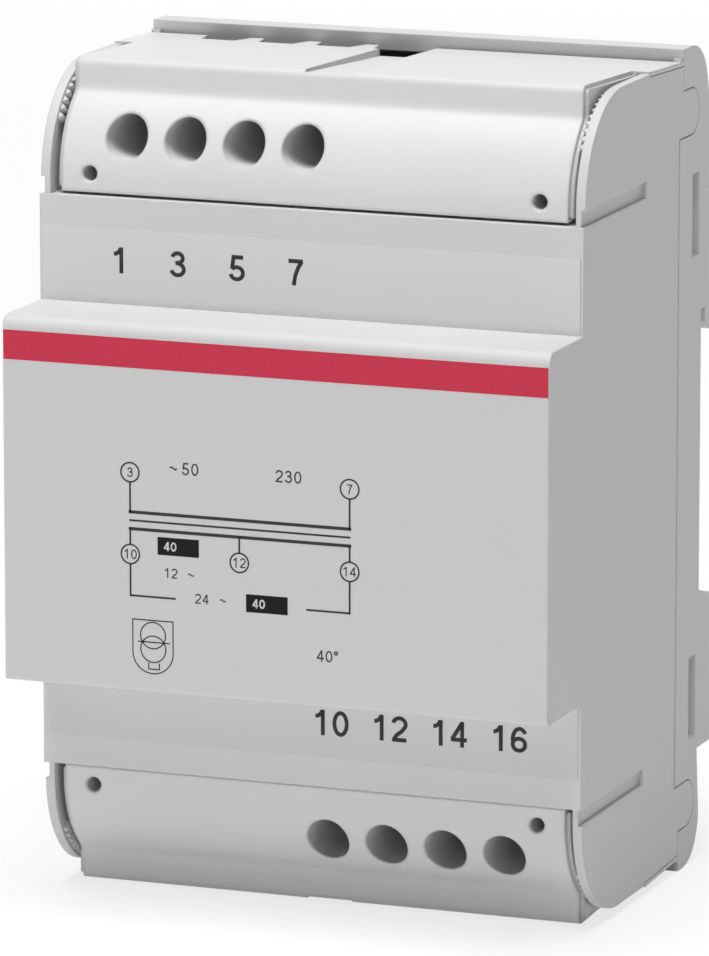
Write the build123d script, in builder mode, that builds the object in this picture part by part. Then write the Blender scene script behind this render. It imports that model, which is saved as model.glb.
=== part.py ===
from build123d import *
from math import acos, cos, degrees, radians, sin, sqrt
import os

# Safety transformer in a four-module housing for a 35 mm mounting rail.
# Frame: +X to the right, +Y to the rear, +Z up, millimetres.
# The origin is the middle of the rail seat, so the rail's front plane is y = 0.

# Housing outline
module_width = 17.5
module_count = 4
rail_to_nose = 55.75
nose_height = 45.0
nose_depth = 11.75
shoulder_height = 70.9
ridge_height = 103.4
base_depth = 8.8
ridge_length = 7.3
nose_edge_radius = 1.3
nose_side_radius = 0.15

# Walls and joints of the housing
side_wall = 1.6
front_wall = 2.0
top_wall = 1.8
base_wall = 1.6
ridge_wall = 2.2
split_gap = 0.3
touch_gap = 0.1
side_groove_height = 2.1
side_groove_length = 22.8
side_groove_depth = 0.5
side_slot_length = 10.4
side_slot_width = 2.6
side_slot_depth = 0.9
side_slot_height = 30.5
side_slot_to_rail = 2.35

# Cheeks beside the terminal covers
cheek_wall = 1.2
cheek_setback = 0.5
cheek_drop = 1.2
cheek_arc_rise = 1.85
tooth_count = 11
tooth_root = 0.4
tooth_pitch = 1.2
tooth_height = 0.65
tooth_width = 1.3

# Snap tongue between hood and base
tongue_offset = 0.675
tongue_radius = 2.85
tongue_reach = 4.5
tongue_gap = 0.15

# Terminal covers
cover_wall = 1.5
cover_end_wall = 1.2
cover_end_gap = 0.7
cover_seat_gap = 0.35
cover_rear_gap = 0.55
cover_inset = 0.65
cover_riser_setback = 5.25
cover_crown_drop = 0.2
cover_rear_drop = 1.5
cover_foot_radius = 1.5
cover_crown_radius = 0.9
cover_end_step = 0.5
wing_length = 11.9
wing_thickness = 0.5
heel_rise = 0.4
pry_width = 6.0
pry_depth = 0.95
pry_start_depth = 0.35
notch_depth = 4.0
notch_floor_width = 4.3
notch_mouth_width = 5.9
seal_hole_diameter = 1.9
seal_hole_inset = 4.15
seal_hole_rise = 2.65
seal_boss_diameter = 4.0
seal_boss_length = 5.0
seal_hole_bevel = 0.25

# Terminals
pole_count = 4
pole_pitch = 7.62
first_pole_inset = 10.55
screw_offset = 0.625
driver_hole_diameter = 5.4
guide_tube_wall = 0.9
guide_tube_gap = 1.0
block_front_wall = 5.3
block_cover_gap = 0.3
block_top_wall = 1.0
block_rear_wall = 1.0
cage_gap = 0.1
cage_wall = 0.8
cage_length = 10.7
cage_width = 6.0
screw_head_diameter = 5.0
screw_head_length = 2.4
screw_head_depth = 0.9
screw_well_gap = 0.3
screw_slot_width = 0.9
screw_slot_depth = 1.1
screw_shank_diameter = 3.0
shank_gap = 0.2
tab_width = 3.0
tab_thickness = 0.8
tab_drop = 5.2
lead_diameter = 1.6

# Rail seat and feet
rail_half_height = 17.5
rail_hook_room = 0.8
hook_lip_overlap = 2.2
flange_room = 1.5
foot_depth = 6.6
upper_foot_rise = 33.0
upper_slope_height = 40.2
upper_slope_y = 4.0
ridge_rear_y = 0.4
lower_foot_top = 17.3
lower_foot_taper = 1.7
lower_foot_bottom = 37.45
lower_wall_y = -0.3
lower_corner_y = 1.1
corner_radius = 6.0
ridge_edge_radius = 0.9
foot_rib = 1.6
foot_pocket_count = 6
foot_pocket_floor = 1.8

# Sprung rail clips
clip_x = 17.5
clip_width = 12.0
clip_thickness = 2.4
clip_front_y = 2.2
clip_nose_front_y = 1.7
clip_nose_overlap = 1.3
clip_nose_height = 2.5
clip_travel = 4.0
clip_handle_length = 9.65
clip_gap = 0.2
clip_leg_thickness = 0.9
clip_leg_space = 1.0
clip_leg_length = 9.0
clip_leg_foot = 1.5
clip_slot_width = 5.5
clip_slot_height = 2.0
clip_slot_rise = 3.0

# Labels
label_thickness = 0.15
label_margin = 0.4
number_label_height = 9.25

# Core and coil
core_side_gap = 3.4
core_width_unit_count = 6
core_height_unit_count = 5
post_size = 6.0
former_gap = 0.2
former_wall = 1.0
coil_window_gap = 1.8
insulation_build = 0.3
secondary_build = 1.5
wrap_build = 0.3
flange_overhang = 0.4
coil_corner_radius = 2.0
coil_rear_gap = 1.0
cutout_width = 9.0
cutout_height = 7.0
cutout_gap = 0.2
rib_thickness = 1.4
rib_height = 12.0
stop_rib = 1.2

# Worked out from the sizes above
width = module_width * module_count
half_width = width / 2
nose_front = -rail_to_nose
hood_front = nose_front + label_thickness
shoulder_front = hood_front + nose_depth
nose_top = nose_height / 2
shoulder_top = shoulder_height / 2
ridge_top = ridge_height / 2
ridge_front = -ridge_length
hood_rear = -base_depth - split_gap / 2
base_front = -base_depth + split_gap / 2
cavity_half_width = half_width - side_wall
bay_half_width = half_width - cheek_wall
nose_inner = hood_front + front_wall
shoulder_inner = shoulder_front + front_wall
bay_floor = shoulder_top - top_wall
base_inner = -base_wall
cheek_front = shoulder_front + cheek_setback
cheek_arc_height = shoulder_top + cheek_arc_rise
cheek_top = ridge_top - cheek_drop
cheek_radius = cheek_top - cheek_arc_height
cheek_arc_y = cheek_front + cheek_radius
tongue_height = (shoulder_top + cheek_top) / 2 + tongue_offset
tongue_y = -base_depth + tongue_reach

cover_half_width = bay_half_width - cover_end_gap
cover_front = cheek_front + cover_inset
cover_radius = cheek_radius - cover_inset
cover_bottom = shoulder_top + cover_seat_gap
cover_rear = ridge_front - cover_rear_gap
cover_riser_y = cover_front + cover_riser_setback
cover_crown_height = ridge_top - cover_crown_drop
cover_rear_height = ridge_top - cover_rear_drop
wing_front = cover_rear - wing_length
cover_slope = (cover_crown_height - cover_rear_height) / (cover_rear - cover_riser_y)

notch_floor = cover_rear - notch_depth
pole_positions = [-half_width + first_pole_inset + pole_pitch * i for i in range(pole_count)]
pole_row_x = (pole_positions[0] + pole_positions[-1]) / 2
block_width = pole_pitch * pole_count
block_top = cover_rear_height - cover_wall - block_cover_gap
screw_height = (shoulder_top + block_top) / 2 + screw_offset
screw_well_diameter = screw_head_diameter + 2 * screw_well_gap
seal_hole_x = cover_half_width - seal_hole_inset
seal_hole_height = shoulder_top + seal_hole_rise
cage_rear = ridge_front + cage_wall
cage_front = cage_rear - cage_length
cage_top = block_top - block_top_wall - cage_gap
block_front = cage_front - cage_gap - block_front_wall
tab_rear = cage_rear + tab_thickness
block_rear = tab_rear + cage_gap + block_rear_wall
wire_front = notch_floor - cage_gap
screw_tip = wire_front - shank_gap
screw_head_front = block_front + screw_head_depth
tab_bottom = shoulder_top - tab_drop
guide_tube_end = block_front - guide_tube_gap

core_width = 2 * (cavity_half_width - core_side_gap)
core_unit = core_width / core_width_unit_count
core_height = core_height_unit_count * core_unit
coil_build = core_unit - coil_window_gap
primary_build = coil_build - former_gap - former_wall - insulation_build - 2 * secondary_build - wrap_build
coil_overhang = coil_build + flange_overhang
core_front = shoulder_inner
core_rear = base_inner - coil_rear_gap - coil_overhang
core_stack = core_rear - core_front
core_y = (core_front + core_rear) / 2
window_top = 1.5 * core_unit
former_top = window_top - former_gap
coil_front = core_front - coil_build
cutout_thickness = coil_front - nose_inner - 2 * cutout_gap

clip_rear_y = clip_front_y + clip_thickness
clip_bottom = lower_foot_bottom + clip_handle_length
clip_half_width = clip_width / 2
leg_reach = clip_half_width + clip_leg_space + clip_leg_thickness
nose_tip = rail_half_height - clip_nose_overlap
nose_root = nose_tip + clip_nose_height
nose_pocket_bottom = nose_root + clip_travel + clip_leg_space
tunnel_y = (clip_front_y - clip_gap, clip_rear_y + clip_gap)
nose_y = (clip_nose_front_y - clip_gap, clip_rear_y + clip_gap)
foot_pocket_width = (width - 2 * side_wall - (foot_pocket_count - 1) * foot_rib) / foot_pocket_count


def top_height(y):
    """Height of the cover's gently falling top at a depth y."""
    return cover_crown_height - cover_slope * (y - cover_riser_y)


def half_turn(piece):
    """The same moulding turned half round about the depth axis, for the lower terminals."""
    return piece.part.rotate(Axis.Y, 180)


def span_box(x_span, y_span, z_span, mode=Mode.ADD):
    """A block between two limits on each axis."""
    centre = [(low + high) / 2 for low, high in (x_span, y_span, z_span)]
    size = [abs(high - low) for low, high in (x_span, y_span, z_span)]
    with Locations(tuple(centre)):
        Box(*size, mode=mode)


# Side outline of the hood: nose, shoulders, rounded cheeks and snap tongues
with BuildSketch(Plane.YZ) as hood_outline:
    with BuildLine():
        Polyline(
            (hood_front, 0),
            (hood_front, nose_top),
            (shoulder_front, nose_top),
            (shoulder_front, shoulder_top),
            (cheek_front, shoulder_top),
            (cheek_front, cheek_arc_height),
        )
        CenterArc((cheek_arc_y, cheek_arc_height), cheek_radius, 180, -90)
        Polyline(
            (cheek_arc_y, cheek_top),
            (ridge_front - touch_gap, cheek_top),
            (ridge_front - touch_gap, tongue_height + tongue_radius),
            (tongue_y, tongue_height + tongue_radius),
        )
        CenterArc((tongue_y, tongue_height), tongue_radius, 90, -180)
        Polyline(
            (tongue_y, tongue_height - tongue_radius),
            (hood_rear, tongue_height - tongue_radius),
            (hood_rear, 0),
            (hood_front, 0),
        )
    make_face()
    mirror(about=Plane.XZ)

# Space inside the hood for the core and coil, open to the rear
with BuildSketch(Plane.YZ) as hood_space:
    with BuildLine():
        Polyline(
            (nose_inner, 0),
            (nose_inner, nose_top - top_wall),
            (shoulder_inner, nose_top - top_wall),
            (shoulder_inner, bay_floor),
            (0, bay_floor),
            (0, 0),
            close=True,
        )
    make_face()
    mirror(about=Plane.XZ)

# Step in the cheeks' tops under the cover's wings
with BuildSketch(Plane.YZ) as wing_seat:
    with BuildLine():
        Polyline(
            (wing_front - touch_gap, top_height(wing_front) - wing_thickness - touch_gap),
            (0, top_height(0) - wing_thickness - touch_gap),
            (0, ridge_top),
            (wing_front - touch_gap, ridge_top),
            close=True,
        )
    make_face()
    mirror(about=Plane.XZ)


def tooth_planes():
    """Planes on the cheeks' curved rims, one for each ratchet tooth."""
    planes = []
    tooth_angle = degrees(tooth_pitch / cheek_radius)
    for side in (1, -1):
        inward = Vector(-side, 0, 0)
        for end in (1, -1):
            for i in range(tooth_count):
                angle = radians(90 - (i + 0.5) * tooth_angle)
                outward = Vector(0, -cos(angle), end * sin(angle))
                centre = Vector(side * bay_half_width, cheek_arc_y, end * cheek_arc_height)
                planes.append(
                    Plane(
                        origin=centre + outward * (cheek_radius - tooth_root),
                        x_dir=inward.cross(outward),
                        z_dir=outward,
                    )
                )
    return planes


with BuildPart() as front_hood:
    extrude(hood_outline.sketch, amount=half_width, both=True)
    fillet(front_hood.edges().filter_by(Axis.X).group_by(Axis.Y)[0], nose_edge_radius)
    fillet(front_hood.edges().filter_by(Axis.Z).group_by(Axis.Y)[0], nose_side_radius)
    extrude(hood_space.sketch, amount=cavity_half_width, both=True, mode=Mode.SUBTRACT)
    extrude(wing_seat.sketch, amount=half_width, both=True, mode=Mode.SUBTRACT)
    for end in (1, -1):
        span_box(
            (-bay_half_width, bay_half_width),
            (nose_front, ridge_length),
            (end * shoulder_top, end * ridge_top),
            mode=Mode.SUBTRACT,
        )
        for side in (1, -1):
            span_box(
                (side * (half_width - side_groove_depth), side * (half_width + side_groove_depth)),
                (shoulder_front, shoulder_front + side_groove_length),
                (end * shoulder_top, end * (shoulder_top + side_groove_height)),
                mode=Mode.SUBTRACT,
            )
            span_box(
                (side * (core_width / 2 + touch_gap), side * cavity_half_width),
                (core_front, core_rear),
                (end * rib_height, end * (rib_height + rib_thickness)),
            )
    with BuildSketch(*tooth_planes()):
        Polygon(
            (-tooth_pitch / 2, -touch_gap),
            (tooth_pitch / 2, -touch_gap),
            (0, tooth_height),
            align=None,
        )
    extrude(amount=-tooth_width)

# Side outline of the base: ridges, rail channel, hook foot and clip foot
with BuildSketch(Plane.YZ) as base_outline:
    with BuildLine():
        Polyline(
            (base_front, -tongue_height),
            (base_front, tongue_height),
            (ridge_front, tongue_height),
            (ridge_front, ridge_top),
            (ridge_rear_y, ridge_top),
            (upper_slope_y, upper_slope_height),
            (foot_depth, upper_foot_rise),
            (foot_depth, rail_half_height - hook_lip_overlap),
            (2 * flange_room, rail_half_height - hook_lip_overlap),
            (flange_room, rail_half_height - hook_lip_overlap / 2),
            (flange_room, rail_half_height + rail_hook_room),
            (0, rail_half_height + rail_hook_room),
            (0, -lower_foot_top),
            (foot_depth, -lower_foot_top - lower_foot_taper),
            (foot_depth, -lower_foot_bottom),
            (lower_wall_y, -lower_foot_bottom),
            (lower_corner_y, -ridge_top),
            (ridge_front, -ridge_top),
            (ridge_front, -tongue_height),
            close=True,
        )
    make_face()
    top_corners = base_outline.vertices().group_by(Axis.Y)[-1].sort_by(Axis.X)
    bottom_corners = base_outline.vertices().group_by(Axis.Y)[0].sort_by(Axis.X)
    fillet([top_corners[-1], bottom_corners[-1]], corner_radius)
    fillet([top_corners[0], bottom_corners[0]], ridge_edge_radius)

# Pocket in the base's sides that takes the hood's snap tongue
with BuildSketch(Plane.YZ) as tongue_pocket:
    with BuildLine():
        pocket_radius = tongue_radius + tongue_gap
        Line((tongue_y, tongue_height - pocket_radius), (hood_rear, tongue_height - pocket_radius))
        Line((hood_rear, tongue_height - pocket_radius), (hood_rear, tongue_height + pocket_radius))
        Line((hood_rear, tongue_height + pocket_radius), (tongue_y, tongue_height + pocket_radius))
        CenterArc((tongue_y, tongue_height), pocket_radius, 90, -180)
    make_face()
    mirror(about=Plane.XZ)

with BuildPart() as rear_base:
    extrude(base_outline.sketch, amount=half_width, both=True)
    for plane_x in (-half_width, cavity_half_width):
        extrude(
            Plane.YZ.offset(plane_x) * tongue_pocket.sketch_local,
            amount=side_wall,
            mode=Mode.SUBTRACT,
        )
    span_box(
        (-cavity_half_width, cavity_half_width),
        (-rail_to_nose, base_inner),
        (-ridge_top + ridge_wall, ridge_top - ridge_wall),
        mode=Mode.SUBTRACT,
    )
    for side in (1, -1):
        for end in (1, -1):
            span_box(
                (side * (half_width - side_slot_depth), side * (half_width + side_slot_depth)),
                (-side_slot_to_rail - side_slot_width / 2, -side_slot_to_rail + side_slot_width / 2),
                (
                    end * (side_slot_height - side_slot_length / 2),
                    end * (side_slot_height + side_slot_length / 2),
                ),
                mode=Mode.SUBTRACT,
            )
            span_box(
                (side * (core_width / 2 - post_size), side * core_width / 2),
                (core_rear, base_inner),
                (end * (core_height / 2 - post_size), end * core_height / 2),
            )
        centre_x = side * clip_x
        span_box(
            (centre_x - clip_half_width - clip_gap, centre_x + clip_half_width + clip_gap),
            nose_y,
            (-nose_pocket_bottom, -lower_foot_top + lower_foot_taper),
            mode=Mode.SUBTRACT,
        )
        span_box(
            (centre_x - leg_reach - clip_gap, centre_x + leg_reach + clip_gap),
            tunnel_y,
            (-lower_foot_bottom - clip_travel, -nose_pocket_bottom + clip_gap),
            mode=Mode.SUBTRACT,
        )
    with Locations((0, foot_depth, (upper_foot_rise + rail_half_height + 2 * foot_rib) / 2)):
        with GridLocations(foot_pocket_width + foot_rib, 1, foot_pocket_count, 1):
            Box(
                foot_pocket_width,
                2 * (foot_depth - foot_pocket_floor),
                upper_foot_rise - rail_half_height - 2 * foot_rib,
                mode=Mode.SUBTRACT,
            )
    for low, high in (
        (-clip_x + leg_reach + clip_gap + foot_rib, clip_x - leg_reach - clip_gap - foot_rib),
        (clip_x + leg_reach + clip_gap + foot_rib, cavity_half_width),
        (-cavity_half_width, -clip_x - leg_reach - clip_gap - foot_rib),
    ):
        span_box(
            (low, high),
            (foot_pocket_floor, 2 * foot_depth),
            (-lower_foot_bottom + foot_rib, -lower_foot_top - lower_foot_taper - foot_rib),
            mode=Mode.SUBTRACT,
        )
    for end in (1, -1):
        for i in range(pole_count + 1):
            stop_x = end * (pole_row_x + pole_pitch * (i - pole_count / 2))
            span_box(
                (stop_x - stop_rib / 2, stop_x + stop_rib / 2),
                (block_rear + touch_gap, base_inner),
                (end * (shoulder_top + foot_rib), end * (block_top - foot_rib)),
            )

# Nose of a rail clip: a wedge that the rail's lower edge pushes down
with BuildSketch(Plane.YZ) as clip_nose:
    with BuildLine():
        Polyline(
            (clip_nose_front_y, -nose_tip),
            (clip_nose_front_y, -nose_root),
            (clip_rear_y, -nose_root),
            (clip_rear_y, -nose_root + clip_nose_height / 4),
            close=True,
        )
    make_face()

with BuildPart() as rail_clip:
    extrude(clip_nose.sketch, amount=clip_half_width, both=True)
    span_box((-clip_half_width, clip_half_width), (clip_front_y, clip_rear_y), (-clip_bottom, -nose_root))
    span_box(
        (-clip_slot_width / 2, clip_slot_width / 2),
        (0, foot_depth),
        (-clip_bottom + clip_slot_rise, -clip_bottom + clip_slot_rise + clip_slot_height),
        mode=Mode.SUBTRACT,
    )
    leg_bottom = -lower_foot_bottom + clip_leg_foot
    for side in (1, -1):
        span_box(
            (side * (leg_reach - clip_leg_thickness), side * leg_reach),
            (clip_front_y, clip_rear_y),
            (leg_bottom, leg_bottom + clip_leg_length),
        )
        span_box(
            (side * clip_half_width, side * leg_reach),
            (clip_front_y, clip_rear_y),
            (leg_bottom, leg_bottom + clip_leg_foot),
        )

with BuildPart() as rail_clip_left:
    add(rail_clip.part.moved(Location((-clip_x, 0, 0))))

with BuildPart() as rail_clip_right:
    add(rail_clip.part.moved(Location((clip_x, 0, 0))))

# Side outline of a terminal cover: curved front, riser and gently falling top
cover_foot = cheek_arc_height + sqrt(cover_radius**2 - (cheek_arc_y - cover_riser_y) ** 2)
cover_sweep = degrees(acos((cheek_arc_y - cover_riser_y) / cover_radius))
riser_height = cover_crown_height - cover_foot
with BuildSketch(Plane.YZ) as cover_outline:
    with BuildLine():
        Polyline((cover_rear, cover_bottom), (cover_front, cover_bottom), (cover_front, cheek_arc_height))
        CenterArc((cheek_arc_y, cheek_arc_height), cover_radius, 180, -cover_sweep)
        Polyline(
            (cover_riser_y, cover_foot),
            (cover_riser_y, cover_crown_height),
            (cover_rear, cover_rear_height),
            (cover_rear, cover_bottom),
        )
    make_face()
    fillet(
        cover_outline.vertices().sort_by_distance((cover_riser_y, cover_foot, 0))[0],
        min(cover_foot_radius, riser_height / 2),
    )
    fillet(
        cover_outline.vertices().sort_by_distance((cover_riser_y, cover_crown_height, 0))[0],
        min(cover_crown_radius, riser_height / 3),
    )

# Rim along the cover's ends that is stepped down
with BuildSketch(Plane.YZ) as cover_rim:
    add(cover_outline.sketch_local)
    offset(amount=-cover_end_step, mode=Mode.SUBTRACT)

# Inside of a terminal cover
inner_radius = cover_radius - cover_wall
inner_riser_y = cover_riser_y + cover_wall
inner_foot = cheek_arc_height + sqrt(inner_radius**2 - (cheek_arc_y - inner_riser_y) ** 2)
inner_sweep = degrees(acos((cheek_arc_y - inner_riser_y) / inner_radius))
with BuildSketch(Plane.YZ) as cover_space:
    with BuildLine():
        Polyline(
            (0, cover_bottom - cover_wall),
            (cover_front + cover_wall, cover_bottom - cover_wall),
            (cover_front + cover_wall, cheek_arc_height),
        )
        CenterArc((cheek_arc_y, cheek_arc_height), inner_radius, 180, -inner_sweep)
        Polyline(
            (inner_riser_y, inner_foot),
            (inner_riser_y, top_height(inner_riser_y) - cover_wall),
            (0, top_height(0) - cover_wall),
            (0, cover_bottom - cover_wall),
        )
    make_face()


def depth_cylinder(x, z, diameter, y_span, mode=Mode.ADD):
    """A round bar or bore along the depth between two limits."""
    with Locations((x, (y_span[0] + y_span[1]) / 2, z)):
        Cylinder(diameter / 2, y_span[1] - y_span[0], rotation=(90, 0, 0), mode=mode)


# The space less the driver guide tubes and the bosses of the seal-wire holes
with BuildPart() as cover_hollow:
    extrude(cover_space.sketch, amount=cover_half_width - cover_end_wall, both=True)
    for x in pole_positions:
        tube_diameter = driver_hole_diameter + 2 * guide_tube_wall
        depth_cylinder(x, screw_height, tube_diameter, (nose_front, guide_tube_end), Mode.SUBTRACT)
    for side in (1, -1):
        boss_y = (nose_front, cover_front + seal_boss_length)
        depth_cylinder(side * seal_hole_x, seal_hole_height, seal_boss_diameter, boss_y, Mode.SUBTRACT)

# Wing of the cover over a cheek's top
with BuildSketch(Plane.YZ) as cover_wing:
    with BuildLine():
        Polyline(
            (wing_front, top_height(wing_front)),
            (cover_rear, cover_rear_height),
            (cover_rear, cover_rear_height - wing_thickness),
            (wing_front, top_height(wing_front) - wing_thickness),
            close=True,
        )
    make_face()

# Ramp for prising the cover off, deeper towards the rear
with BuildSketch(Plane.YZ) as pry_ramp:
    with BuildLine():
        Polyline(
            (cover_front, cover_crown_height - pry_start_depth),
            (cover_riser_y, cover_crown_height - pry_start_depth),
            (cover_rear, cover_rear_height - pry_depth),
            (0, cover_rear_height - pry_depth),
            (0, ridge_top),
            (cover_front, ridge_top),
            close=True,
        )
    make_face()

with BuildPart() as upper_terminal_cover:
    extrude(cover_outline.sketch, amount=cover_half_width, both=True)
    for plane_x in (-cover_half_width, cover_half_width - cover_end_step):
        extrude(
            Plane.YZ.offset(plane_x) * cover_rim.sketch_local,
            amount=cover_end_step,
            mode=Mode.SUBTRACT,
        )
    add(cover_hollow.part, mode=Mode.SUBTRACT)
    for plane_x in (-half_width, cover_half_width - cover_end_wall):
        extrude(
            Plane.YZ.offset(plane_x) * cover_wing.sketch_local,
            amount=half_width - cover_half_width + cover_end_wall,
        )
    for side in (1, -1):
        span_box(
            (side * bay_half_width, side * half_width),
            (cover_rear - touch_gap, ridge_front - touch_gap),
            (cover_rear_height - wing_thickness, cover_rear_height + heel_rise),
        )
    extrude(pry_ramp.sketch, amount=pry_width / 2, both=True, mode=Mode.SUBTRACT)
    with BuildSketch(Plane.XY.offset(ridge_top)):
        with Locations(*[(x, 0) for x in pole_positions]):
            Polygon(
                (-notch_floor_width / 2, notch_floor),
                (notch_floor_width / 2, notch_floor),
                (notch_mouth_width / 2, cover_rear),
                (-notch_mouth_width / 2, cover_rear),
                align=None,
            )
    extrude(amount=-(ridge_top - block_top), mode=Mode.SUBTRACT)
    for x in pole_positions:
        bore_y = (nose_front, guide_tube_end)
        depth_cylinder(x, screw_height, driver_hole_diameter, bore_y, Mode.SUBTRACT)
    for side in (1, -1):
        hole_y = (nose_front, cover_front + seal_boss_length)
        depth_cylinder(side * seal_hole_x, seal_hole_height, seal_hole_diameter, hole_y, Mode.SUBTRACT)
        with Locations((side * seal_hole_x, cover_front, seal_hole_height)):
            Cone(
                seal_hole_diameter / 2,
                seal_hole_diameter / 2 + 2 * seal_hole_bevel,
                2 * seal_hole_bevel,
                rotation=(90, 0, 0),
                mode=Mode.SUBTRACT,
            )

with BuildPart() as lower_terminal_cover:
    add(half_turn(upper_terminal_cover))

# Terminals: a moulded block with a clamp cage, screw and tab at each pole
with BuildPart() as upper_terminal_block:
    span_box(
        (pole_row_x - block_width / 2, pole_row_x + block_width / 2),
        (block_front, block_rear),
        (shoulder_top, block_top),
    )
    for x in pole_positions:
        pocket_half = cage_width / 2 + cage_gap
        slot_half = cage_width / 2 - cage_wall
        span_box(
            (x - pocket_half, x + pocket_half),
            (cage_front - cage_gap, tab_rear + cage_gap),
            (shoulder_top - top_wall, cage_top + cage_gap),
            mode=Mode.SUBTRACT,
        )
        span_box(
            (x - slot_half, x + slot_half),
            (wire_front, ridge_front),
            (shoulder_top, ridge_top),
            mode=Mode.SUBTRACT,
        )
        well_y = (block_front, screw_head_front + screw_head_length + cage_gap)
        depth_cylinder(x, screw_height, screw_well_diameter, well_y, Mode.SUBTRACT)
        passage_y = (block_front, cage_front)
        passage_diameter = screw_shank_diameter + 2 * shank_gap
        depth_cylinder(x, screw_height, passage_diameter, passage_y, Mode.SUBTRACT)

with BuildPart() as lower_terminal_block:
    add(half_turn(upper_terminal_block))

with BuildPart() as upper_clamp_cages:
    for x in pole_positions:
        slot_half = cage_width / 2 - cage_wall
        cage_z = (shoulder_top + cage_gap, cage_top)
        span_box((x - cage_width / 2, x + cage_width / 2), (cage_front, cage_rear), cage_z)
        span_box(
            (x - slot_half, x + slot_half),
            (cage_front + cage_wall, cage_rear - cage_wall),
            cage_z,
            mode=Mode.SUBTRACT,
        )
        thread_y = (cage_front - cage_wall, cage_front + 2 * cage_wall)
        thread_diameter = screw_shank_diameter + touch_gap
        depth_cylinder(x, screw_height, thread_diameter, thread_y, Mode.SUBTRACT)

with BuildPart() as lower_clamp_cages:
    add(half_turn(upper_clamp_cages))

with BuildPart() as upper_clamp_screws:
    for x in pole_positions:
        head_rear = screw_head_front + screw_head_length
        depth_cylinder(x, screw_height, screw_head_diameter, (screw_head_front, head_rear))
        depth_cylinder(x, screw_height, screw_shank_diameter, (head_rear, screw_tip))
        span_box(
            (x - screw_head_diameter, x + screw_head_diameter),
            (screw_head_front, screw_head_front + screw_slot_depth),
            (screw_height - screw_slot_width / 2, screw_height + screw_slot_width / 2),
            mode=Mode.SUBTRACT,
        )

with BuildPart() as lower_clamp_screws:
    add(half_turn(upper_clamp_screws))

with BuildPart() as upper_terminal_tabs:
    for x in pole_positions:
        span_box(
            (x - tab_width / 2, x + tab_width / 2),
            (cage_rear, tab_rear),
            (tab_bottom, cage_top),
        )

with BuildPart() as lower_terminal_tabs:
    add(half_turn(upper_terminal_tabs))

# Labels on the nose and shoulders
with BuildPart() as front_label:
    label_half_width = half_width - nose_side_radius
    label_half_height = nose_top - nose_edge_radius - label_margin
    span_box(
        (-label_half_width, label_half_width),
        (nose_front, hood_front),
        (-label_half_height, label_half_height),
    )

with BuildPart() as upper_number_label:
    span_box(
        (-half_width + label_margin, half_width - label_margin),
        (shoulder_front - label_thickness, shoulder_front),
        (nose_top, nose_top + number_label_height),
    )

with BuildPart() as lower_number_label:
    add(half_turn(upper_number_label))

# Core of stacked E and I laminations, with the coil's axis upright
with BuildPart() as core_e_stack:
    with BuildSketch(Plane.XZ.offset(-core_front)):
        with BuildLine():
            Polyline(
                (0, window_top),
                (core_unit, window_top),
                (core_unit, -window_top),
                (2 * core_unit, -window_top),
                (2 * core_unit, window_top),
                (3 * core_unit, window_top),
                (3 * core_unit, -core_height / 2),
                (0, -core_height / 2),
                close=True,
            )
        make_face()
        mirror(about=Plane.YZ)
    extrude(amount=-core_stack)

with BuildPart() as core_i_stack:
    span_box((-core_width / 2, core_width / 2), (core_front, core_rear), (window_top, core_height / 2))


def coil_section(build):
    """Width and depth of the coil's outline at a build-up over the core's middle leg."""
    return 2 * (core_unit + build), core_stack + 2 * build


def coil_ring(inner_build, build):
    """One layer of the coil, wound between the former's flanges."""
    layer_top = former_top - former_wall
    with BuildPart() as ring:
        with BuildSketch(Plane.XY.offset(-layer_top)):
            with Locations((0, core_y)):
                RectangleRounded(*coil_section(inner_build + build), coil_corner_radius + build)
                RectangleRounded(*coil_section(inner_build), coil_corner_radius, mode=Mode.SUBTRACT)
        extrude(amount=2 * layer_top)
    return ring


with BuildPart() as bobbin:
    with BuildSketch(Plane.XY.offset(-former_top)):
        with Locations((0, core_y)):
            RectangleRounded(*coil_section(former_gap + former_wall), coil_corner_radius)
    extrude(amount=2 * former_top)
    for flange_bottom in (-former_top, former_top - former_wall):
        with BuildSketch(Plane.XY.offset(flange_bottom)):
            with Locations((0, core_y)):
                RectangleRounded(
                    4 * core_unit - 2 * flange_overhang,
                    core_stack + 2 * coil_overhang,
                    coil_corner_radius,
                )
        extrude(amount=former_wall)
    with BuildSketch(Plane.XY.offset(-former_top)):
        with Locations((0, core_y)):
            Rectangle(*coil_section(former_gap))
    extrude(amount=2 * former_top, mode=Mode.SUBTRACT)

primary_start = former_gap + former_wall
insulation_start = primary_start + primary_build
inner_secondary_start = insulation_start + insulation_build
outer_secondary_start = inner_secondary_start + secondary_build
wrap_start = outer_secondary_start + secondary_build
primary_winding = coil_ring(primary_start, primary_build)
interlayer_insulation = coil_ring(insulation_start, insulation_build)
inner_secondary_winding = coil_ring(inner_secondary_start, secondary_build)
outer_secondary_winding = coil_ring(outer_secondary_start, secondary_build)
winding_wrap = coil_ring(wrap_start, wrap_build)

# Leads from the bobbin's flanges to the tabs of the poles in use
lead_y = (cage_rear + tab_rear) / 2


def lead_bars(poles):
    """Straight insulated leads that rise to the tabs at some of the poles."""
    with BuildPart() as leads:
        with BuildSketch(Plane.XY.offset(former_top)):
            with Locations(*[(x, lead_y) for x in poles]):
                Circle(lead_diameter / 2)
        extrude(amount=tab_bottom - former_top)
    return leads


primary_leads = lead_bars(pole_positions[1::2])
secondary_lead_bars = lead_bars(pole_positions[1:])
with BuildPart() as secondary_leads:
    add(half_turn(secondary_lead_bars))

with BuildPart() as thermal_cutout:
    span_box(
        (-cutout_width / 2, cutout_width / 2),
        (nose_inner + cutout_gap, nose_inner + cutout_gap + cutout_thickness),
        (-cutout_height / 2, cutout_height / 2),
    )

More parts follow.
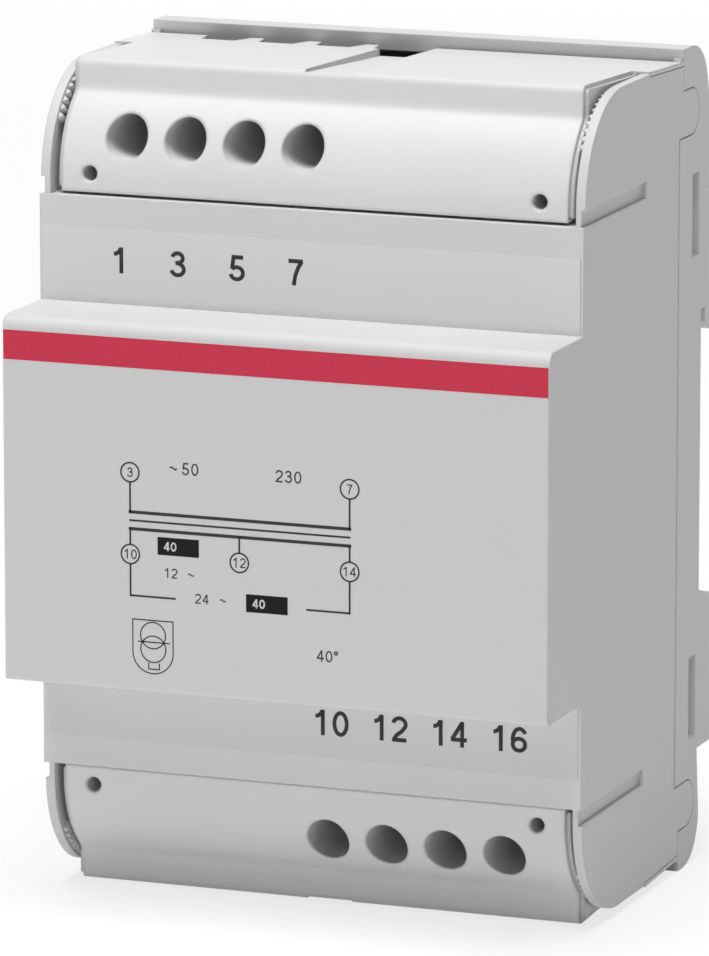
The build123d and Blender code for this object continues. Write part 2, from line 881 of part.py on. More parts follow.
pieces = {
    "front_hood": front_hood,
    "rear_base": rear_base,
    "upper_terminal_cover": upper_terminal_cover,
    "lower_terminal_cover": lower_terminal_cover,
    "rail_clip_left": rail_clip_left,
    "rail_clip_right": rail_clip_right,
    "front_label": front_label,
    "upper_number_label": upper_number_label,
    "lower_number_label": lower_number_label,
    "upper_terminal_block": upper_terminal_block,
    "lower_terminal_block": lower_terminal_block,
    "upper_clamp_cages": upper_clamp_cages,
    "lower_clamp_cages": lower_clamp_cages,
    "upper_clamp_screws": upper_clamp_screws,
    "lower_clamp_screws": lower_clamp_screws,
    "upper_terminal_tabs": upper_terminal_tabs,
    "lower_terminal_tabs": lower_terminal_tabs,
    "core_e_stack": core_e_stack,
    "core_i_stack": core_i_stack,
    "bobbin": bobbin,
    "primary_winding": primary_winding,
    "interlayer_insulation": interlayer_insulation,
    "inner_secondary_winding": inner_secondary_winding,
    "outer_secondary_winding": outer_secondary_winding,
    "winding_wrap": winding_wrap,
    "primary_leads": primary_leads,
    "secondary_leads": secondary_leads,
    "thermal_cutout": thermal_cutout,
}

os.makedirs("parts", exist_ok=True)
for name, piece in pieces.items():
    piece.part.label = name
    export_step(piece.part, f"parts/{name}.step")
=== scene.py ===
"""Looks of a rail-mounted safety transformer: finishes, printed films, studio light and camera.

Sizes are in millimetres unless a line says otherwise, and meshes are in metres.
"""

import logging
import math
from collections.abc import Callable
from dataclasses import dataclass, field
from enum import Enum

import bpy
from mathutils import Matrix, Vector


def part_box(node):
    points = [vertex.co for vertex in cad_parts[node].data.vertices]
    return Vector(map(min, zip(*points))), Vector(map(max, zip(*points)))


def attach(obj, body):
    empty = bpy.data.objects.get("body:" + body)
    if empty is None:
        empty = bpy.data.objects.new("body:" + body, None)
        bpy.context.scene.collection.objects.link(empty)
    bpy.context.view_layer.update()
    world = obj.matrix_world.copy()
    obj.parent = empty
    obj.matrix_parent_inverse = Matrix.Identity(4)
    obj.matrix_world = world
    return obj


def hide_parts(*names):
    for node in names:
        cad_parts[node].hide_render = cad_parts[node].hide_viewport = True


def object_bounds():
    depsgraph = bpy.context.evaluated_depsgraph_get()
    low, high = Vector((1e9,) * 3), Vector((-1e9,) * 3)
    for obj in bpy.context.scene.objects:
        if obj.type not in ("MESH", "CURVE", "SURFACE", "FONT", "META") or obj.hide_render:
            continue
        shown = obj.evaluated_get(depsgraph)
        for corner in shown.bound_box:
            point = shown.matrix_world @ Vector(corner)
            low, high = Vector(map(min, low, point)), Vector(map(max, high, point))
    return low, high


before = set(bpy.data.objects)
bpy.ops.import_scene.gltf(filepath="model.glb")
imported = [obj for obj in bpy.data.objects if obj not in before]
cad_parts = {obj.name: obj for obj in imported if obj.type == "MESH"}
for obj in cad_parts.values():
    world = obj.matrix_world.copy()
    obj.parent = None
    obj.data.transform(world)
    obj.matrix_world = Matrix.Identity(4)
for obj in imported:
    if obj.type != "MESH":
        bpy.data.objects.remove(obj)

CAD_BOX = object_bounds()
MM = 0.001
QUARTER_TURN = math.pi / 2
HOUSING_BODY = "housing"
LOG = logging.getLogger("safety_transformer")

Rgb = tuple[int, int, int]
Colour = tuple[float, float, float, float]
Point = tuple[float, float]
Place = tuple[float, float, float]
Stroke = list[Point]

WHITE_LIGHT: Colour = (1.0, 1.0, 1.0, 1.0)


class Slot(Enum):
    """Names of material slots; no piece in this script takes them."""

    HOUSING = "housing_plastic"
    LABEL = "label_film"
    NUMBERS = "number_film"


class Ink(Enum):
    """Colours printed on the films, as screen colours."""

    RED = (197, 53, 77)
    DARK = (56, 55, 56)
    BLACK = (16, 16, 16)
    WHITE = (204, 204, 204)


class Axis(Enum):
    """Axes that a pattern of bands may run across."""

    Y = "Y"
    Z = "Z"


class Level(Enum):
    """Values of the shader that are the same all over a surface."""

    METALLIC = "Metallic"
    ROUGHNESS = "Roughness"
    SPECULAR = "Specular IOR Level"


def linear(colour: Rgb, factor: float = 1.0) -> Colour:
    """Turn a screen colour into the linear colour that a shader takes, by the sRGB curve.

    Args:
        colour: Red, green and blue from 0 to 255.
        factor: A brightness that multiplies the linear colour.

    Returns:
        The linear colour with full opacity.
    """
    values = []
    for level in colour:
        share = level / 255
        value = share / 12.92 if share <= 0.04045 else ((share + 0.055) / 1.055) ** 2.4
        values.append(min(1.0, value * factor))
    return values[0], values[1], values[2], 1.0


class NodeSheet:
    """A new material with its Principled shader and Object coordinates."""

    NOISE_LOW = 0.3
    NOISE_HIGH = 0.7
    EDGE_SAMPLES = 6
    WAVE_CONSTANT = math.pi / 10

    def __init__(self, name: str) -> None:
        """Start the material.

        Args:
            name: The material's name.
        """
        self.material = bpy.data.materials.new(name)
        self.material.use_nodes = True
        self.tree = self.material.node_tree
        self.shader = self.tree.nodes["Principled BSDF"]
        self.place = self.tree.nodes.new("ShaderNodeTexCoord").outputs["Object"]

    def set_level(self, level: Level, value: float) -> None:
        """Set a value on the shader's own socket."""
        self.shader.inputs[level.value].default_value = value

    def noise(self, size: float, detail: float = 2.0) -> bpy.types.NodeSocket:
        """Add soft noise.

        Args:
            size: The size of one patch.
            detail: How many finer layers are added.

        Returns:
            The noise value, about 0.5 on average.
        """
        node = self.tree.nodes.new("ShaderNodeTexNoise")
        node.inputs["Scale"].default_value = 1 / (size * MM)
        node.inputs["Detail"].default_value = detail
        self.tree.links.new(self.place, node.inputs["Vector"])
        return node.outputs["Fac"]

    def bands(self, across: Axis, pitch: float, wander: float = 0.0) -> bpy.types.NodeSocket:
        """Add parallel bands, such as stacked sheets or turns of wire.

        Args:
            across: The axis across the bands.
            pitch: The distance from band to band.
            wander: How far the bands stray from straight.

        Returns:
            The band value from 0 to 1.
        """
        node = self.tree.nodes.new("ShaderNodeTexWave")
        node.wave_type = "BANDS"
        node.bands_direction = across.value
        node.inputs["Scale"].default_value = self.WAVE_CONSTANT / (pitch * MM)
        node.inputs["Distortion"].default_value = wander
        self.tree.links.new(self.place, node.inputs["Vector"])
        return node.outputs["Fac"]

    def tint(
        self, value: bpy.types.NodeSocket, colour: Rgb, dark: float, light: float = 1.0
    ) -> None:
        """Colour the shader with a darker and a lighter tone of one colour.

        Args:
            value: The noise or band value.
            colour: The screen colour.
            dark: Its brightness at the value's low end.
            light: Its brightness at the value's high end.
        """
        node = self.tree.nodes.new("ShaderNodeValToRGB")
        low, high = node.color_ramp.elements
        low.position, low.color = self.NOISE_LOW, linear(colour, dark)
        high.position, high.color = self.NOISE_HIGH, linear(colour, light)
        self.tree.links.new(value, node.inputs["Fac"])
        self.tree.links.new(node.outputs["Color"], self.shader.inputs["Base Color"])

    def roughen(self, value: bpy.types.NodeSocket, roughness: float, swing: float) -> None:
        """Vary the shader's roughness about a middle value.

        Args:
            value: The noise or band value.
            roughness: The middle roughness.
            swing: How far it goes to each side.
        """
        node = self.tree.nodes.new("ShaderNodeMapRange")
        node.inputs["From Min"].default_value = self.NOISE_LOW
        node.inputs["From Max"].default_value = self.NOISE_HIGH
        node.inputs["To Min"].default_value = roughness - swing
        node.inputs["To Max"].default_value = roughness + swing
        self.tree.links.new(value, node.inputs["Value"])
        self.tree.links.new(node.outputs["Result"], self.shader.inputs["Roughness"])

    def emboss(self, value: bpy.types.NodeSocket, depth: float, edge_radius: float = 0.0) -> None:
        """Give the shader a fine relief, and soft edges where asked.

        Args:
            value: The relief's height from 0 to 1.
            depth: The relief's depth.
            edge_radius: How far from an edge the surface looks rounded.
        """
        node = self.tree.nodes.new("ShaderNodeBump")
        node.inputs["Distance"].default_value = depth * MM
        self.tree.links.new(value, node.inputs["Height"])
        if edge_radius:
            soft = self.tree.nodes.new("ShaderNodeBevel")
            soft.samples = self.EDGE_SAMPLES
            soft.inputs["Radius"].default_value = edge_radius * MM
            self.tree.links.new(soft.outputs["Normal"], node.inputs["Normal"])
        self.tree.links.new(node.outputs["Normal"], self.shader.inputs["Normal"])


@dataclass(frozen=True)
class MouldedPlastic:
    """Spark-eroded moulded plastic with faint flow clouds."""

    name: str
    colour: Rgb
    roughness: float = 0.5
    roughness_swing: float = 0.03
    specular: float = 0.35
    cloud_size: float = 24.0
    cloud_swing: float = 0.012
    grain_size: float = 0.22
    grain_detail: float = 3.0
    grain_depth: float = 0.006
    edge_radius: float = 0.25

    def material(self) -> bpy.types.Material:
        """Build the material.

        Returns:
            The plastic with clouds in its colour and gloss, and a fine grain.
        """
        sheet = NodeSheet(self.name)
        cloud = sheet.noise(self.cloud_size)
        sheet.tint(cloud, self.colour, 1 - self.cloud_swing, 1 + self.cloud_swing)
        sheet.roughen(cloud, self.roughness, self.roughness_swing)
        grain = sheet.noise(self.grain_size, self.grain_detail)
        sheet.emboss(grain, self.grain_depth, self.edge_radius)
        sheet.set_level(Level.SPECULAR, self.specular)
        return sheet.material


@dataclass(frozen=True)
class PrintedFilm:
    """Satin polyester label film."""

    name: str
    colour: Rgb
    roughness: float = 0.42
    roughness_swing: float = 0.03
    specular: float = 0.4
    ripple_size: float = 6.0
    ripple_swing: float = 0.008
    ripple_depth: float = 0.004

    def material(self) -> bpy.types.Material:
        """Build the material.

        Returns:
            The film with a faint ripple from the surface under it.
        """
        sheet = NodeSheet(self.name)
        ripple = sheet.noise(self.ripple_size)
        sheet.tint(ripple, self.colour, 1 - self.ripple_swing, 1 + self.ripple_swing)
        sheet.roughen(ripple, self.roughness, self.roughness_swing)
        sheet.emboss(ripple, self.ripple_depth)
        sheet.set_level(Level.SPECULAR, self.specular)
        return sheet.material


@dataclass(frozen=True)
class PrintInk:
    """Screen ink, a little uneven in its cover."""

    ink: Ink
    roughness: float = 0.45
    roughness_swing: float = 0.05
    specular: float = 0.12
    speck_size: float = 0.35
    speck_detail: float = 4.0
    speck_swing: float = 0.06

    def material(self) -> bpy.types.Material:
        """Build the material.

        Returns:
            The ink with its uneven cover.
        """
        sheet = NodeSheet(f"ink_{self.ink.name.lower()}")
        specks = sheet.noise(self.speck_size, self.speck_detail)
        sheet.tint(specks, self.ink.value, 1 - self.speck_swing, 1 + self.speck_swing)
        sheet.roughen(specks, self.roughness, self.roughness_swing)
        sheet.set_level(Level.SPECULAR, self.specular)
        return sheet.material


@dataclass(frozen=True)
class BrushedMetal:
    """Plated or rolled metal with fine drawn lines."""

    name: str
    colour: Rgb
    roughness: float = 0.34
    roughness_swing: float = 0.08
    metallic: float = 1.0
    line_pitch: float = 0.12
    line_wander: float = 4.0
    line_depth: float = 0.003
    stain_size: float = 2.0
    stain_shade: float = 0.9

    def material(self) -> bpy.types.Material:
        """Build the material.

        Returns:
            The metal with drawn lines in its gloss and relief.
        """
        sheet = NodeSheet(self.name)
        lines = sheet.bands(Axis.Z, self.line_pitch, self.line_wander)
        sheet.tint(sheet.noise(self.stain_size), self.colour, self.stain_shade)
        sheet.roughen(lines, self.roughness, self.roughness_swing)
        sheet.emboss(lines, self.line_depth)
        sheet.set_level(Level.METALLIC, self.metallic)
        return sheet.material


@dataclass(frozen=True)
class LaminatedSteel:
    """Edges of stacked electrical steel sheets under a thin varnish."""

    name: str
    colour: Rgb
    roughness: float = 0.45
    roughness_swing: float = 0.08
    metallic: float = 0.8
    sheet_thickness: float = 0.5
    gap_shade: float = 0.55
    gap_depth: float = 0.06
    varnish_size: float = 3.0

    def material(self) -> bpy.types.Material:
        """Build the material.

        Returns:
            The stack with a line between each sheet and the next.
        """
        sheet = NodeSheet(self.name)
        layers = sheet.bands(Axis.Y, self.sheet_thickness)
        sheet.tint(layers, self.colour, self.gap_shade)
        sheet.roughen(sheet.noise(self.varnish_size), self.roughness, self.roughness_swing)
        sheet.emboss(layers, self.gap_depth)
        sheet.set_level(Level.METALLIC, self.metallic)
        return sheet.material


@dataclass(frozen=True)
class WoundWire:
    """Turns of enamelled copper wire side by side."""

    name: str
    colour: Rgb
    wire_diameter: float
    roughness: float = 0.3
    roughness_swing: float = 0.06
    metallic: float = 0.9
    turn_wander: float = 0.4
    painted_groove_shade: float = 0.5
    enamel_size: float = 1.5

    def material(self) -> bpy.types.Material:
        """Build the material.

        Returns:
            The winding with a groove between its turns, darkened with painted shade.
        """
        sheet = NodeSheet(self.name)
        turns = sheet.bands(Axis.Z, self.wire_diameter, self.turn_wander)
        # Painted shade: the colour darkens towards the groove between turns.
        sheet.tint(turns, self.colour, self.painted_groove_shade)
        sheet.roughen(sheet.noise(self.enamel_size), self.roughness, self.roughness_swing)
        sheet.emboss(turns, self.wire_diameter / 2)
        sheet.set_level(Level.METALLIC, self.metallic)
        return sheet.material


@dataclass(frozen=True)
class TapeWrap:
    """Insulating tape or paper with overlapped edges."""

    name: str
    colour: Rgb
    roughness: float = 0.5
    roughness_swing: float = 0.08
    lap: float = 6.0
    lap_wander: float = 0.3
    lap_depth: float = 0.05
    mottle_size: float = 1.2
    mottle_detail: float = 4.0
    mottle_dark: float = 0.88
    mottle_light: float = 1.04

    def material(self) -> bpy.types.Material:
        """Build the material.

        Returns:
            The tape with its laps and a mottled sheen.
        """
        sheet = NodeSheet(self.name)
        mottle = sheet.noise(self.mottle_size, self.mottle_detail)
        sheet.tint(mottle, self.colour, self.mottle_dark, self.mottle_light)
        sheet.roughen(mottle, self.roughness, self.roughness_swing)
        sheet.emboss(sheet.bands(Axis.Z, self.lap, self.lap_wander), self.lap_depth)
        return sheet.material


Finish = MouldedPlastic | PrintedFilm | BrushedMetal | LaminatedSteel | WoundWire | TapeWrap

HOUSING_GREY = MouldedPlastic("housing_grey", (205, 206, 205))
COVER_GREY = MouldedPlastic("cover_grey", (213, 214, 213), roughness=0.46, edge_radius=0.7)
CLIP_GREY = MouldedPlastic("clip_grey", (150, 151, 150), roughness=0.55)
BLOCK_GREY = MouldedPlastic("block_grey", (96, 97, 98), roughness=0.6)
BOBBIN_BLACK = MouldedPlastic("bobbin_black", (46, 46, 48), roughness=0.55)
CUTOUT_BLACK = MouldedPlastic("cutout_black", (30, 30, 32), roughness=0.4)
LEAD_BROWN = MouldedPlastic("primary_lead_brown", (92, 58, 40), roughness=0.4)
LEAD_BLACK = MouldedPlastic("secondary_lead_black", (36, 36, 38), roughness=0.4)
LABEL_GREY = PrintedFilm("label_grey", (199, 199, 199))
# Painted light and painted shade: both shoulder films are one film, the upper painted lighter and
# the lower painted darker for light falling off towards the bottom.
UPPER_NUMBER_FILM_PAINTED_LIGHT = PrintedFilm("upper_number_film_painted_light", (209, 210, 209))
LOWER_NUMBER_FILM_PAINTED_SHADE = PrintedFilm("lower_number_film_painted_shade", (199, 199, 199))
PLATED_STEEL = BrushedMetal("plated_steel", (196, 198, 202))
TAB_BRASS = BrushedMetal("tab_brass", (208, 182, 112), roughness=0.3)
CORE_STEEL = LaminatedSteel("core_steel", (112, 114, 120))
PRIMARY_COPPER = WoundWire("primary_copper", (176, 98, 56), wire_diameter=0.3)
SECONDARY_COPPER = WoundWire("secondary_copper", (186, 106, 60), wire_diameter=0.9)
LAYER_PAPER = TapeWrap("layer_paper", (216, 200, 160))
COIL_TAPE = TapeWrap("coil_tape", (222, 196, 96))


def dress(names: tuple[str, ...], finish: Finish) -> bpy.types.Material:
    """Give CAD nodes a finish and report each.

    Args:
        names: The nodes' names.
        finish: The finish that they share.

    Returns:
        The finish's material.
    """
    material = finish.material()
    for name in names:
        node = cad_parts[name]
        node.data.materials.clear()
        node.data.materials.append(material)
        LOG.info("dressed %s in %s", name, material.name)
    return material


def add_block(name: str, low: Place, high: Place) -> bpy.types.Object:
    """Add a block and leave it open in edit mode.

    Args:
        name: The block's name.
        low: Its lowest corner in metres.
        high: Its highest corner in metres.

    Returns:
        The block.
    """
    bpy.ops.object.select_all(action="DESELECT")
    bpy.ops.mesh.primitive_cube_add(size=1)
    block = bpy.context.view_layer.objects.active
    block.name = block.data.name = name
    bpy.ops.object.mode_set(mode="EDIT")
    bpy.ops.transform.resize(value=Vector(high) - Vector(low))
    bpy.ops.transform.translate(value=(Vector(high) + Vector(low)) / 2)
    return block


def pick_edges(mesh: bpy.types.Mesh, wanted: Callable[[Vector, Vector], bool]) -> None:
    """Select the edges that pass a test and leave the mesh open in edit mode.

    Args:
        mesh: The mesh of the active object.
        wanted: The test, which takes the places of an edge's two ends.
    """
    bpy.ops.object.mode_set(mode="OBJECT")
    places = [vertex.co for vertex in mesh.vertices]
    picked = [wanted(*(places[index] for index in edge.vertices)) for edge in mesh.edges]
    mesh.vertices.foreach_set("select", [False] * len(mesh.vertices))
    mesh.polygons.foreach_set("select", [False] * len(mesh.polygons))
    mesh.edges.foreach_set("select", picked)
    bpy.context.tool_settings.mesh_select_mode = (False, True, False)
    bpy.ops.object.mode_set(mode="EDIT")


@dataclass
class Housing:
    """Front hood and rear base of the casing, with the crisp lower edge of the nose."""

    hood: str = "front_hood"
    base: str = "rear_base"
    nose_bottom: float = -22.5
    edge_size: float = 1.3
    edge_inset: float = 0.04
    edge_bevel: float = 0.42
    edge_segments: int = 3
    same_place: float = 0.01

    def build(self) -> None:
        """Dress the two shells and give the nose its lower edge."""
        plastic = dress((self.hood, self.base), HOUSING_GREY)
        self._nose_edge(plastic)

    def _nose_edge(self, plastic: bpy.types.Material) -> None:
        """Lay a three-sided strip along the rounding below the nose.

        Args:
            plastic: The shells' finish.
        """
        (left, front, _), (right, _, _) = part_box(self.hood)
        inset, bottom = self.edge_inset * MM, self.nose_bottom * MM
        rear, top = front + self.edge_size * MM, bottom + self.edge_size * MM
        strip = add_block(
            "nose_lower_edge", (left + inset, front, bottom), (right - inset, rear, top)
        )
        self._pick_long_edge(strip.data, rear, top)
        bpy.ops.transform.translate(value=(0, front - rear, 0))
        bpy.ops.mesh.select_all(action="SELECT")
        bpy.ops.mesh.remove_doubles(threshold=self.same_place * MM)
        bpy.ops.mesh.normals_make_consistent(inside=False)
        self._pick_long_edge(strip.data, front, bottom)
        bpy.ops.mesh.bevel(
            affect="EDGES", offset=self.edge_bevel * MM, segments=self.edge_segments
        )
        bpy.ops.object.mode_set(mode="OBJECT")
        strip.data.materials.append(plastic)
        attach(strip, HOUSING_BODY)
        LOG.info("made %s", strip.name)

    def _pick_long_edge(self, mesh: bpy.types.Mesh, y: float, z: float) -> None:
        """Select the strip's one edge along a line across the nose.

        Args:
            mesh: The strip's mesh.
            y: The line's place in depth, in metres.
            z: The line's height in metres.
        """
        near = self.same_place * MM
        pick_edges(
            mesh, lambda *ends: all(math.hypot(end.y - y, end.z - z) < near for end in ends)
        )


@dataclass
class TerminalCovers:
    """Snap-on covers over the upper and lower terminals."""

    covers: tuple[str, ...] = ("upper_terminal_cover", "lower_terminal_cover")

    def build(self) -> None:
        """Dress the two covers."""
        dress(self.covers, COVER_GREY)


@dataclass
class RailClips:
    """Sprung clips in the lower foot."""

    clips: tuple[str, ...] = ("rail_clip_left", "rail_clip_right")

    def build(self) -> None:
        """Dress the two clips."""
        dress(self.clips, CLIP_GREY)


@dataclass
class Terminals:
    """Blocks, cages, screws and tabs under the covers."""

    blocks: tuple[str, ...] = ("upper_terminal_block", "lower_terminal_block")
    clamps: tuple[str, ...] = (
        "upper_clamp_cages",
        "upper_clamp_screws",
        "lower_clamp_cages",
        "lower_clamp_screws",
    )
    tabs: tuple[str, ...] = ("upper_terminal_tabs", "lower_terminal_tabs")

    def build(self) -> None:
        """Dress the pieces at both ends."""
        dress(self.blocks, BLOCK_GREY)
        dress(self.clamps, PLATED_STEEL)
        dress(self.tabs, TAB_BRASS)


@dataclass
class CoreAndCoil:
    """Laminated core, wound bobbin, leads and thermal cutout inside the casing."""

    finishes: tuple[tuple[Finish, tuple[str, ...]], ...] = (
        (CORE_STEEL, ("core_e_stack", "core_i_stack")),
        (BOBBIN_BLACK, ("bobbin",)),
        (PRIMARY_COPPER, ("primary_winding",)),
        (SECONDARY_COPPER, ("inner_secondary_winding", "outer_secondary_winding")),
        (LAYER_PAPER, ("interlayer_insulation",)),
        (COIL_TAPE, ("winding_wrap",)),
        (LEAD_BROWN, ("primary_leads",)),
        (LEAD_BLACK, ("secondary_leads",)),
        (CUTOUT_BLACK, ("thermal_cutout",)),
    )

    def build(self) -> None:
        """Dress the core, the coil from the inside out, and what hangs on it."""
        for finish, names in self.finishes:
            dress(names, finish)


def arc(centre: Point, radii: Point, start: float, end: float, step: float = 10.0) -> Stroke:
    """Lay points along part of an ellipse.

    Args:
        centre: The middle of the ellipse.
        radii: Its half width and half height.
        start: The first angle in degrees, from the right and counted upwards.
        end: The last angle in degrees.
        step: About how many degrees lie from one point to the next.

    Returns:
        The points.
    """
    steps = max(2, round(abs(end - start) / step))
    angles = [math.radians(start + (end - start) * i / steps) for i in range(steps + 1)]
    (x, y), (width, height) = centre, radii
    return [(x + width * math.cos(angle), y + height * math.sin(angle)) for angle in angles]


@dataclass(frozen=True)
class Figures:
    """Plain upright figures drawn with an even line, one unit tall."""

    weight: float
    advance: float = 0.79
    space: float = 0.3
    bowl: float = 0.25

    def strokes(self, figure: str) -> list[Stroke]:
        """Give the middle lines of one figure's strokes.

        Args:
            figure: A digit from 0 to 7, a wave or a degree sign.

        Returns:
            One list of points for each stroke.
        """
        low, bowl = self.weight / 2, self.bowl
        top = 1 - low
        shapes = {
            "0": [arc((0.33, 0.5), (bowl, 0.5 - low), 0, 360)],
            "1": [arc((0.1, 1.0), (0.27, 0.26), -90, -8), [(0.4, 0), (0.4, 1)]],
            "2": [
                arc((0.33, 0.69), (bowl, top - 0.69), 170, -25)
                + [(0.42, 0.42), (0.2, 0.25), (0.1, low)],
                [(0.03, low), (0.61, low)],
            ],
            "3": [
                arc((0.31, 0.735), (0.21, top - 0.735), 170, -90) + [(0.22, 0.54)],
                arc((0.31, 0.3), (bowl, 0.3 - low), 90, -170),
            ],
            "4": [
                [(0.45, top), (0.06, 0.29)],
                [(0.02, 0.29), (0.66, 0.29)],
                [(0.47, 0), (0.47, 1)],
            ],
            "5": [
                [(0.14, top), (0.57, top)],
                [(0.19, 1), (0.12, 0.47)],
                arc((0.31, 0.31), (bowl, 0.31 - low), 140, -170),
            ],
            "6": [
                arc((0.335, 0.31), (bowl, 0.31 - low), 0, 360),
                arc((0.36, 0.5), (0.275, 0.5 - low), 35, 190),
            ],
            "7": [
                [(0.04, top), (0.62, top)],
                [(0.58, top), (0.43, 0.68), (0.31, 0.36), (0.25, 0)],
            ],
            "~": [
                [(0.05 + 0.05 * i, 0.48 + 0.09 * math.sin(math.pi * i / 6)) for i in range(13)]
            ],
            "°": [arc((0.17, 0.83), (0.13, 0.13), 0, 360)],
        }
        return shapes[figure]

    def line(self, text: str) -> list[Stroke]:
        """Give the strokes of a line of figures, starting at zero.

        Args:
            text: The figures, with spaces between groups.

        Returns:
            One list of points for each stroke.
        """
        strokes, start = [], 0.0
        for figure in text:
            if figure == " ":
                start += self.space
                continue
            strokes += [[(start + x, y) for x, y in stroke] for stroke in self.strokes(figure)]
            start += self.advance
        return strokes


@dataclass
class FlatPrint:
    """A layer of print, drawn flat with x across and y up, then stood up on its film.

    The film's face is in metres, as the frame gives it.
    """

    name: str
    ink: Ink
    film_face: float
    thickness: float = 0.015
    corner: float = 0.03
    corner_segments: int = 2
    ring_sides: int = 48
    round_segments: int = 14
    stroke_step: float = 0.001
    marks: list[bpy.types.Object] = field(default_factory=list)

    def bar(self, low: Point, high: Point) -> None:
        """Print a filled rectangle with slightly rounded corners.

        Args:
            low: Its lower left corner.
            high: Its upper right corner.
        """
        self._rectangle(low, high)
        bpy.ops.mesh.bevel(
            affect="VERTICES", offset=self.corner * MM, segments=self.corner_segments
        )
        self._thicken()

    def line(self, start: Point, end: Point, width: float) -> None:
        """Print a straight line across or up.

        Args:
            start: One end of its middle.
            end: The other end of its middle.
            width: Its width.
        """
        half = width / 2
        low = (min(start[0], end[0]) - half, min(start[1], end[1]) - half)
        high = (max(start[0], end[0]) + half, max(start[1], end[1]) + half)
        self.bar(low, high)

    def ring(self, centre: Point, radius: float, width: float) -> None:
        """Print a circle as a line.

        Args:
            centre: Its centre.
            radius: Its outer radius.
            width: Its line's width.
        """
        bpy.ops.object.select_all(action="DESELECT")
        bpy.ops.mesh.primitive_circle_add(
            vertices=self.ring_sides, radius=radius * MM, fill_type="NGON"
        )
        bpy.ops.object.mode_set(mode="EDIT")
        bpy.ops.transform.translate(value=(centre[0] * MM, centre[1] * MM, 0))
        self._hollow(width)
        self._thicken()

    def shield(self, low: Point, high: Point, width: float) -> None:
        """Print the outline of a plate that is square above and round below.

        Args:
            low: The lower left corner of its box.
            high: The upper right corner of its box.
            width: Its line's width.
        """
        self._rectangle(low, high)
        middle = (high[1] + low[1]) / 2 * MM
        radius = (high[0] - low[0]) / 2 - self.corner
        outline = bpy.context.view_layer.objects.active.data
        pick_edges(outline, lambda first, second: max(first.y, second.y) < middle)
        bpy.ops.mesh.bevel(affect="VERTICES", offset=radius * MM, segments=self.round_segments)
        bpy.ops.mesh.select_all(action="SELECT")
        self._hollow(width)
        self._thicken()

    def number(self, text: str, middle: Point, height: float, figures: Figures) -> None:
        """Print a plain number, drawn with a flat pen whose strokes are made a mesh.

        Each stroke lies a hair lower than the one before, so none share a plane where they cross.

        Args:
            text: Its figures.
            middle: The middle of the figures.
            height: The figures' height.
            figures: The way that they are drawn.
        """
        strokes = figures.line(text)
        across = [x for stroke in strokes for x, _ in stroke]
        centre_x, centre_y = (min(across) + max(across)) / 2, 0.5
        bpy.ops.object.select_all(action="DESELECT")
        bpy.ops.curve.primitive_bezier_curve_add()
        mark = bpy.context.view_layer.objects.active
        path = mark.data
        path.splines.clear()
        path.dimensions = "3D"
        path.twist_mode = "Z_UP"
        path.extrude = figures.weight / 2
        for layer, stroke in enumerate(strokes):
            depth = -layer * self.stroke_step * MM
            spline = path.splines.new("POLY")
            spline.points.add(len(stroke) - 1)
            for knot, (x, y) in zip(spline.points, stroke):
                knot.co = (x - centre_x, y - centre_y, depth, 1)
                knot.tilt = QUARTER_TURN
        bpy.ops.object.convert(target="MESH")
        mark.scale = (height * MM, height * MM, 1)
        mark.location = (middle[0] * MM, middle[1] * MM, 0)
        bpy.ops.object.transform_apply(location=True, rotation=True, scale=True)
        bpy.ops.object.mode_set(mode="EDIT")
        self._thicken()

    def stand(self) -> None:
        """Join the marks, stand them on the film and hand the piece to its body.
        """
        bpy.ops.object.select_all(action="DESELECT")
        for mark in self.marks:
            mark.select_set(True)
        piece = self.marks[0]
        bpy.context.view_layer.objects.active = piece
        if len(self.marks) > 1:
            bpy.ops.object.join()
        piece.rotation_euler = (QUARTER_TURN, 0, 0)
        piece.location = (0, self.film_face, 0)
        bpy.ops.object.transform_apply(location=True, rotation=True, scale=True)
        piece.name = piece.data.name = self.name
        piece.data.materials.clear()
        piece.data.materials.append(PrintInk(self.ink).material())
        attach(piece, HOUSING_BODY)
        LOG.info("printed %s", self.name)

    def _rectangle(self, low: Point, high: Point) -> None:
        """Add a flat rectangle and leave it open in edit mode.

        Args:
            low: Its lower left corner.
            high: Its upper right corner.
        """
        (left, bottom), (right, top) = low, high
        bpy.ops.object.select_all(action="DESELECT")
        bpy.ops.mesh.primitive_plane_add(size=1)
        bpy.ops.object.mode_set(mode="EDIT")
        bpy.ops.transform.resize(value=((right - left) * MM, (top - bottom) * MM, 1))
        bpy.ops.transform.translate(value=((right + left) / 2 * MM, (top + bottom) / 2 * MM, 0))

    def _hollow(self, width: float) -> None:
        """Leave only a line along the edge of the flat face that is open in edit mode."""
        bpy.ops.mesh.inset(thickness=width * MM)
        bpy.ops.mesh.delete(type="FACE")

    def _thicken(self) -> None:
        """Give the flat shape that is open in edit mode its thickness and keep it as a mark."""
        bpy.ops.mesh.select_all(action="SELECT")
        bpy.ops.mesh.extrude_region_move(
            TRANSFORM_OT_translate={"value": (0, 0, self.thickness * MM)}
        )
        bpy.ops.mesh.select_all(action="SELECT")
        bpy.ops.mesh.normals_make_consistent(inside=False)
        bpy.ops.object.mode_set(mode="OBJECT")
        self.marks.append(bpy.context.view_layer.objects.active)


